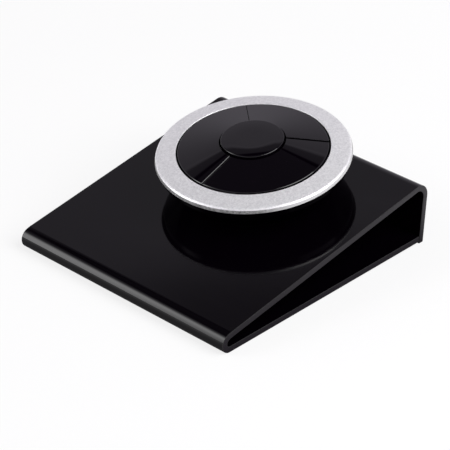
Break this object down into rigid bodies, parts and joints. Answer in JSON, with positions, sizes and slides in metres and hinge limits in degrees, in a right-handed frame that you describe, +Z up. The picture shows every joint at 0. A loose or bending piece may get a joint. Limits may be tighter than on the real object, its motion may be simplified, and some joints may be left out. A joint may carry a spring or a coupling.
{
  "type": "waiter call button",
  "caption": "Round tabletop radio call unit with conical outer keys, a domed centre key and a silver trim ring, taped to a wedge stand bent from black acrylic sheet.",
  "frame": {"origin": "middle of the stand's footprint on the table", "axes": "+Z up, -Y towards the guest at the front lip, +X to the guest's right"},
  "size_m": [0.125, 0.14, 0.0525],
  "materials": {
    "black_acrylic": "polished cast acrylic",
    "foam_tape": "closed-cell foam",
    "shell_black": "glossy moulded plastic",
    "silver_paint": "satin silver paint with fine flake",
    "key_black": "piano black",
    "inner_black": "fine moulded grain",
    "door_black": "fine moulded grain",
    "cell_steel": "plated steel",
    "contact_steel": "nickel-plated spring strip",
    "board_green": "solder mask over glass fibre",
    "chip_black": "moulded epoxy",
    "can_metal": "drawn can",
    "capacitor_metal": "satin",
    "antenna_wire": "enamelled copper wire",
    "lamp_clear": "clear epoxy",
    "switch_black": "moulded",
    "plunger_white": "moulded",
    "screw_steel": "black zinc"
  },
  "bodies": {
    "stand_and_housing": {"acrylic_stand": "black_acrylic", "adhesive_pad": "foam_tape", "lower_shell": "shell_black", "battery_door": "door_black", "coin_cell": "cell_steel", "battery_holder": "inner_black", "negative_contact": "contact_steel", "positive_contact": "contact_steel", "circuit_board": "board_green", "encoder_chip": "chip_black", "crystal_can": "can_metal", "smoothing_capacitor": "capacitor_metal", "loop_antenna": "antenna_wire", "indicator_led": "lamp_clear", "key_carrier": "inner_black", "silver_ring": "silver_paint", "centre_switch": "switch_black", "rear_switch": "switch_black", "left_switch": "switch_black", "right_switch": "switch_black", "housing_screws": "screw_steel"},
    "centre_button": {"centre_key": "key_black", "centre_plunger": "plunger_white"},
    "rear_button": {"rear_key": "key_black", "rear_plunger": "plunger_white"},
    "left_button": {"left_key": "key_black", "left_plunger": "plunger_white"},
    "right_button": {"right_key": "key_black", "right_plunger": "plunger_white"}
  },
  "joints": [
    {"name": "centre_press", "type": "slide", "parent": "stand_and_housing", "child": "centre_button", "axis": [0, 0.1736, -0.9848], "range_m": [0, 0.0005], "stiffness_N_per_m": 4000},
    {"name": "rear_press", "type": "slide", "parent": "stand_and_housing", "child": "rear_button", "axis": [0, 0.1736, -0.9848], "range_m": [0, 0.0005], "stiffness_N_per_m": 4000},
    {"name": "left_press", "type": "slide", "parent": "stand_and_housing", "child": "left_button", "axis": [0, 0.1736, -0.9848], "range_m": [0, 0.0005], "stiffness_N_per_m": 4000},
    {"name": "right_press", "type": "slide", "parent": "stand_and_housing", "child": "right_button", "axis": [0, 0.1736, -0.9848], "range_m": [0, 0.0005], "stiffness_N_per_m": 4000}
  ]
}
